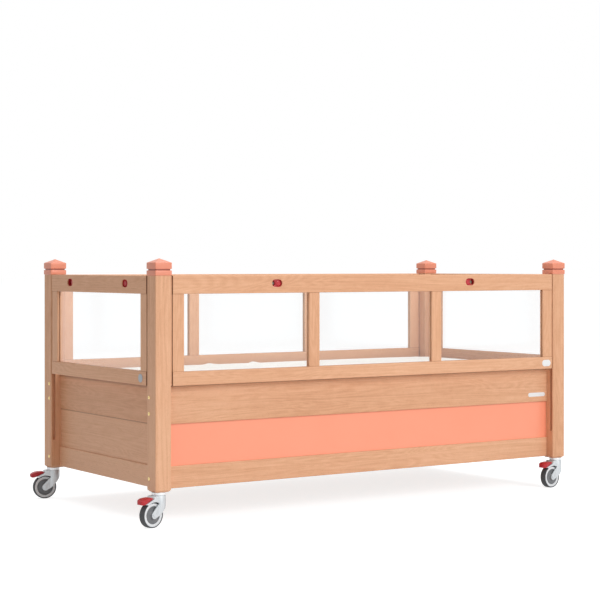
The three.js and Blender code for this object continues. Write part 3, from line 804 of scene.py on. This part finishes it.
# A section turned about the axle, closed on itself
def ringPiece(name, section, hub, axle, body, material, stands=()):
    closed = np.concatenate([section, section[:1]])
    points = turnedPoints(closed * mm, hub, axle, wheel["steps"])
    mesh = surfaceMesh(name, points, capped=False)
    return addPiece(name, mesh, body, material, stands)


# The mudguard's lower edge and the arms' ends are arcs about the axle: (radius in the frame, new radius)
fork = dict(arcs=((47.0, 50.5), (18.0, 14.0)), slack=0.3, rounding=1.2)


# Points within the slack of an arc's radius are moved out or in along that radius
def trimmedFork(places, hub, axle):
    offset = places - hub
    across = (offset @ axle)[:, None] * axle
    flat = offset - across
    radius = np.linalg.norm(flat, axis=1, keepdims=True) / mm
    for arc, wanted in fork["arcs"]:
        flat = np.where(np.abs(radius - arc) < fork["slack"], flat * (wanted / arc), flat)
    return hub + across + flat


# Pedal past the fork's horn: its reach is drawn in by a share, and its height rises with the reach
pedal = dict(horn=74.0, share=0.78, rise=0.07, rounding=0.8)


def shortPedal(places, swivel, hub):
    trail = (hub - swivel) * (1, 1, 0)
    trail /= np.linalg.norm(trail)
    past = np.maximum((places - swivel) @ trail - pedal["horn"] * mm, 0)[:, None]
    return places + past * (pedal["rise"] * up - (1 - pedal["share"]) * trail)


def makeCasters():
    for corner in corners:
        roll = joints[f"caster_roll_{corner}"]
        hub, axle = np.array(roll["pos_m"]), np.array(roll["axis"])
        swivel = np.array(joints[f"caster_swivel_{corner}"]["pos_m"])
        body = f"caster_wheel_{corner}"
        rings = (
            ("tyre", tyreSection(), "tyre_rubber", "tyre_rubber", [body]),
            ("rim", rimSection(), "rim_grey", "caster_grey", ()),
            ("wheel_disc", discSection(), "wheel_grey", "tyre_rubber", ()),
        )
        for name, section, finish, slot, stands in rings:
            ringPiece(f"{name}_{corner}", section, hub, axle, body, finishes[finish], stands)
        trim = partial(trimmedFork, hub=hub, axle=axle)
        shorten = partial(shortPedal, swivel=swivel, hub=hub)
        softened(
            f"swivel_fork_{corner}", f"caster_fork_{corner}", "caster_grey", fork["rounding"], reshape=trim
        )
        softened(
            f"brake_pedal_{corner}", f"caster_pedal_{corner}", "pedal_red", pedal["rounding"], reshape=shorten
        )
        makeCollar(corner)


# Collar: a turned ring with a bearing gap above the fork, on its stem; play is left under the post
collar = dict(radius=28.0, lip=2.8, gap=2.0, stem=6.0, play=0.3, lowRound=0.8, topRound=1.2, steps=72)


def makeCollar(corner):
    node = f"caster_collar_{corner}"
    low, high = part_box(node)
    swivel = joints[f"caster_swivel_{corner}"]["pos_m"]
    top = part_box(f"post_{corner}")[0].z / mm - collar["play"]
    bottom = low.z / mm
    radius, stem = collar["radius"], collar["stem"]
    neck = radius - collar["lip"]
    lip = bottom + collar["gap"]
    lowRound, topRound = collar["lowRound"], collar["topRound"]
    profile = np.concatenate([
        [[0.0, bottom], [neck, bottom], [neck, lip]],
        arcPoints((radius - lowRound, lip + lowRound), lowRound, -90, 0, 4),
        arcPoints((radius - topRound, top - topRound), topRound, 0, 90, 5),
        [[stem, top], [stem, high.z / mm], [0.0, high.z / mm]],
    ])
    points = turnedPoints(profile * mm, (swivel[0], swivel[1], 0), up, collar["steps"])
    mesh = surfaceMesh(f"swivel_collar_{corner}", points, capped=False)
    addPiece(f"swivel_collar_{corner}", mesh, "frame", finishes["collar_metal"], [node])


makeCasters()
print("casters made")

# Latches: the red slider with eased edges, and a grey plug in the floor of its finger well, painted the light grey
# of a glint as a painted highlight, whose rows are (inset, height over the floor)
latch = dict(
    rounding=0.5,
    linerHalf=(6.5, 5.4),
    linerCorner=5.2,
    linerDepth=16.5,
    linerShift=1.0,
    linerRows=((0.0, -1.0), (0.0, 1.8), (1.0, 1.8), (1.4, 0.8), (3.0, 0.3), (4.6, 0.0)),
)

# Directions of a side: along its length to the right as seen from outside, and out of its face
sideAxes = {
    "front": ((1, 0, 0), (0, -1, 0)),
    "right": ((0, 1, 0), (1, 0, 0)),
    "rear": ((-1, 0, 0), (0, 1, 0)),
    "left": ((0, -1, 0), (-1, 0, 0)),
}


# Rings of a rounded rectangle laid on a side: levels are (inset from the outline, distance out of the face);
# a ring never shrinks to less than a dot
def plateMesh(name, centre, side, halves, corner, levels, steps=8):
    right, out = (np.array(v, float) for v in sideAxes[side])
    rings = []
    for inset, rise in levels:
        half = (max(halves[0] - inset, 0.05), max(halves[1] - inset, 0.05))
        ring = roundedSquare(*half, min(max(corner - inset, 0.04), min(half)), steps)
        rings.append(ring[:, :1] * right + ring[:, 1:] * up + rise * out)
    return surfaceMesh(name, np.array(rings) * mm + np.array(centre))


def makeLatches():
    for side in sides:
        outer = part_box(f"{side}_gate_frame")
        for hand in ("left", "right"):
            node = f"{side}_latch_{hand}"
            softened(f"finger_latch_{side}_{hand}", node, "latch_red", latch["rounding"], segments=2)
            makeLiner(side, hand, node, outer)


def makeLiner(side, hand, node, outer):
    right, out = (np.array(v, float) for v in sideAxes[side])
    wells = {o["name"]: np.array(o["box_m"]) for o in frame["record"]["physics"]["openings"]}
    middle = wells[f"{side}_latch_{hand}_finger_well"].mean(axis=0)
    face = max(np.dot(out, outer[0]), np.dot(out, outer[1]))
    inward = 1.0 if hand == "left" else -1.0
    shift = right * inward * latch["linerShift"] * mm
    middle = middle + shift - out * (np.dot(out, middle) - face)
    levels = [(inset, rise - latch["linerDepth"]) for inset, rise in latch["linerRows"]]
    name = f"finger_well_{side}_{hand}"
    mesh = plateMesh(name, middle, side, latch["linerHalf"], latch["linerCorner"], levels)
    addPiece(name, mesh, node, finishes["well_painted_glint"])


makeLatches()
print("latches made")

# Bolts that hold the long boards to the posts, through the end faces of the posts
bolts = dict(
    radius=7.0,
    head=2.2,
    edgeRound=1.0,
    sunk=0.5,
    socket=2.6,
    socketDepth=1.5,
    chamfer=0.3,
    dimple=0.4,
    heights=(499.0, 436.0, 184.5),
    inset=52.0,
)


# Head: a domed disc whose socket wall follows a hexagon, radius = apothem / cos(angle from the flat's middle)
def boltPoints(centre, side):
    right, out = (np.array(v, float) for v in sideAxes[side])
    angle = np.linspace(0, 2 * np.pi, 48, endpoint=False)
    fromFlat = (angle + np.pi / 6) % (np.pi / 3) - np.pi / 6
    hexagon = bolts["socket"] / np.cos(fromFlat)
    around = np.cos(angle)[:, None] * right + np.sin(angle)[:, None] * up
    radius, head, bend, chamfer = (bolts[key] for key in ("radius", "head", "edgeRound", "chamfer"))
    edge = arcPoints((radius - bend, head - bend), bend, 0, 80, 6)
    floor = head - bolts["socketDepth"]
    even = np.ones_like(angle)
    rows = [(even * radius, -bolts["sunk"])] + [(even * r, h) for r, h in edge]
    rows += [(hexagon + chamfer, head), (hexagon, head - chamfer)]
    rows += [(hexagon, floor), (even * bolts["dimple"], floor - chamfer)]
    return np.array([r[:, None] * around + h * out for r, h in rows]) * mm + np.array(centre)


def makeBolts():
    for corner in corners:
        side = "left" if corner.endswith("left") else "right"
        low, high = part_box(f"post_{corner}")
        x = low.x if side == "left" else high.x
        y = low.y + bolts["inset"] * mm if corner.startswith("front") else high.y - bolts["inset"] * mm
        for number, height in enumerate(bolts["heights"]):
            name = f"bolt_head_{corner}_{number + 1}"
            mesh = surfaceMesh(name, boltPoints((x, y, height * mm), side))
            addPiece(name, mesh, "frame", finishes["brass"])


makeBolts()

# Bare plates: an oval and a strip at the right of the front, a round one on the left end; at is the place
# along the side and the height, and the rim's rows are (inset, depth under the face)
plates = dict(
    oval=dict(
        side="front", finish="plate_white", at=(990.0, 569.0), halves=(25.0, 14.5), corner=14.4, thick=1.2
    ),
    strip=dict(
        side="front", finish="plate_white", at=(967.7, 424.6), halves=(50.0, 9.0), corner=8.9, thick=1.2
    ),
    disc=dict(
        side="left", finish="plate_grey", at=(-381.4, 570.4), halves=(16.5, 16.5), corner=16.4, thick=1.4
    ),
)
plateRim = ((0.0, 0.5), (0.15, 0.15), (0.6, 0.0), (3.0, 0.0))
plateSunk = 0.4


def makePlates():
    for name, plate in plates.items():
        side = plate["side"]
        carrier = f"{side}_upper_board" if name == "strip" else f"{side}_gate_frame"
        body = "frame" if name == "strip" else f"{side}_gate"
        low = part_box(carrier)[0]
        along, height = (v * mm for v in plate["at"])
        centre = (along, low.y, height) if side == "front" else (low.x, along, height)
        levels = [(0.0, -plateSunk)] + [(inset, plate["thick"] - under) for inset, under in plateRim]
        mesh = plateMesh(f"bare_plate_{name}", centre, side, plate["halves"], plate["corner"], levels, 12)
        addPiece(f"bare_plate_{name}", mesh, body, finishes[plate["finish"]])


makePlates()
print("bolts and bare plates set")

# Mattress: a closed cover swollen by a cloth run, with a welded bead round its top edge; a pucker has its
# place along the cot in metres and its rise in millimetres
mattress = dict(
    gap=3.0,
    corner=46.0,
    cornerLeast=5.0,
    edge=112.0,
    crown=12.0,
    rim=10.0,
    drawIn=6.0,
    cell=17.0,
    puckers=((-0.263, 10.0), (-0.03, 13.0)),
    puckerInset=45.0,
    puckerAcross=30.0,
    puckerAlong=17.0,
    bead=2.2,
)


# Rows rise from the base's middle out, up the side and in over the top; each ring is a rounded rectangle.
# A pucker lifts the top near the rear edge by a bell curve, exp(-(distance / width) squared)
def mattressPoints(low, high):
    halfX, halfY = ((high[n] - low[n]) / 2 / mm - mattress["gap"] for n in (0, 1))
    edge, rim = mattress["edge"], mattress["rim"]
    lower = arcPoints((rim, rim), rim, -90, -180, 4)
    upper = arcPoints((rim, edge - rim), rim, 180, 90, 5)
    wall = np.column_stack([np.zeros(6), np.linspace(rim, edge - rim, 8)[1:-1]])
    inner = np.linspace(0, 1, int(halfY / mattress["cell"]))[1:]
    rise = mattress["crown"] * np.sin(inner * np.pi / 2)
    roof = np.column_stack([rim + (halfY - rim) * inner, edge + rise])
    outer = np.linspace(1, 0, 9)[:-1]
    base = np.column_stack([rim + (halfY - rim) * outer, np.zeros_like(outer)])
    levels = np.concatenate([base, lower, wall, upper, roof])
    counts = [int(2 * half / mattress["cell"]) for half in (halfX, halfY)]
    rings = []
    for inset, height in levels:
        left = max(halfY - inset, 0.0)
        corner = min(max(mattress["corner"] - inset, mattress["cornerLeast"]), left)
        rings.append(mattressRing(halfX - inset, left, corner, height, left / halfY, counts))
    middle = np.array([(low.x + high.x) / 2, (low.y + high.y) / 2, low.z])
    points = np.array(rings)
    across = (points[..., 1] - halfY + mattress["puckerInset"]) / mattress["puckerAcross"]
    near = np.exp(-(across**2)) * np.clip(points[..., 2] / edge, 0, 1) ** 2
    for place, rise in mattress["puckers"]:
        along = (points[..., 0] - (place - middle[0]) / mm) / mattress["puckerAlong"]
        points[..., 2] += rise * near * np.exp(-(along**2))
    return points * mm + middle, len(base) + len(lower) + len(wall) + len(upper) - 2


# One ring with its straight runs split evenly and drawn in between the corners by a parabola
def mattressRing(halfX, halfY, corner, height, pull, counts):
    x, y = halfX - corner, halfY - corner
    parts = []
    for number, (sx, sy) in enumerate(((1, 1), (-1, 1), (-1, -1), (1, -1))):
        parts.append(arcPoints((sx * x, sy * y), corner, number * 90, number * 90 + 90, 9))
        share = np.linspace(0, 1, counts[number % 2] + 2)[1:-1]
        dent = pull * mattress["drawIn"] * 4 * share * (1 - share)
        if number % 2 == 0:
            parts.append(np.column_stack([sx * x * (1 - 2 * share), sy * (halfY - dent)]))
        else:
            parts.append(np.column_stack([sx * (halfX - dent), sy * y * (1 - 2 * share)]))
    ring = np.concatenate(parts)
    return np.column_stack([ring, np.full(len(ring), height)])


# Coated white cover: a fine woven emboss, soft sheen
cover = dict(colour=(0.92, 0.915, 0.87), shade=(0.89, 0.885, 0.84), weave=900.0)


def coverFinish():
    finish = Finish("mattress_cover")
    x, y = finish.axes()[:2]
    weave = (x * (cover["weave"] * 2)).sine() * (y * (cover["weave"] * 2)).sine()
    cloud = finish.noise(finish.place(), 5.0, 3.0)
    crease = finish.noise(finish.place(), 38.0, 4.0, 0.6, 0.6)
    colour = finish.blend(cloud.ramp(0.4, 0.75) * 0.5, cover["colour"], cover["shade"])
    return finish.skin(
        Base_Color=colour,
        Roughness=crease * 0.14 + 0.5,
        Sheen_Weight=0.15,
        Normal=finish.bump(crease * 0.8 + weave * 0.12, 0.25, 0.0012),
    )


def makeMattress():
    low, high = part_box("mattress")
    points, edgeRow = mattressPoints(low, high)
    mesh = surfaceMesh("mattress_pad", points, capped=False)
    material = coverFinish()
    pad = addPiece("mattress_pad", mesh, "frame", material, ["mattress"])
    edgeRing = ringNumbers(mesh, points[edgeRow])
    swell(pad)
    makeBead(vertexPlaces(mesh)[edgeRing], material)
    finer = pad.modifiers.new("finer", "SUBSURF")
    finer.levels = finer.render_levels = 1


# Vertex numbers of a ring of points, each the nearest of the vertices between its lowest and highest point
def ringNumbers(mesh, ring):
    places = vertexPlaces(mesh)
    height = places[:, 2]
    level = np.flatnonzero((height > ring[:, 2].min() - 1e-5) & (height < ring[:, 2].max() + 1e-5))
    apart = ring[:, None] - places[level][None]
    return level[np.argmin((apart**2).sum(axis=2), axis=1)]


# Cloth under a little air, with the base held; no point may move further than the cap
swelling = dict(pressure=0.4, stiffness=12.0, bending=0.4, shrink=-0.012, frames=14, cap=7.0, base=6.0)


def swell(pad):
    mesh = pad.data
    before = vertexPlaces(mesh)
    base = before[:, 2] < before[:, 2].min() + swelling["base"] * mm
    held = pad.vertex_groups.new(name="held")
    held.add(np.flatnonzero(base).tolist(), 1.0, "REPLACE")
    cloth = pad.modifiers.new("cloth", "CLOTH")
    cloth.settings.use_pressure = True
    cloth.settings.uniform_pressure_force = swelling["pressure"]
    cloth.settings.vertex_group_mass = "held"
    cloth.settings.tension_stiffness = swelling["stiffness"]
    cloth.settings.compression_stiffness = swelling["stiffness"]
    cloth.settings.bending_stiffness = swelling["bending"]
    cloth.settings.shrink_min = swelling["shrink"]
    cloth.settings.effector_weights.gravity = 0
    cloth.point_cache.frame_end = swelling["frames"]
    scene = bpy.context.scene
    for number in range(1, swelling["frames"] + 1):
        scene.frame_set(number)
    view = pad.evaluated_get(bpy.context.evaluated_depsgraph_get())
    step = vertexPlaces(view.data) - before
    pad.modifiers.remove(cloth)
    scene.frame_set(1)
    reach = np.linalg.norm(step, axis=1, keepdims=True)
    capped = step * np.minimum(1.0, swelling["cap"] * mm / np.maximum(reach, 1e-9))
    place = before + capped
    place[base] = before[base]
    mesh.vertices.foreach_set("co", place.ravel())
    mesh.update()
    print("mattress swollen, widest move", round(float(reach.max() / mm), 1), "mm")


# Welded bead: a round section carried along the top edge, frame from the path's own direction and up
def makeBead(edge, material):
    ahead = np.roll(edge, -1, axis=0) - np.roll(edge, 1, axis=0)
    ahead /= np.linalg.norm(ahead, axis=1, keepdims=True)
    outward = np.cross(ahead, up)
    outward /= np.linalg.norm(outward, axis=1, keepdims=True)
    angle = np.linspace(0, 2 * np.pi, 8, endpoint=False)
    ring = np.cos(angle)[None, :, None] * outward[:, None] + np.sin(angle)[None, :, None] * up
    points = edge[:, None] + mattress["bead"] * mm * ring
    closed = np.concatenate([points, points[:1]])
    mesh = surfaceMesh("mattress_bead", closed, capped=False)
    addPiece("mattress_bead", mesh, "frame", material)


makeMattress()
print("mattress laid")
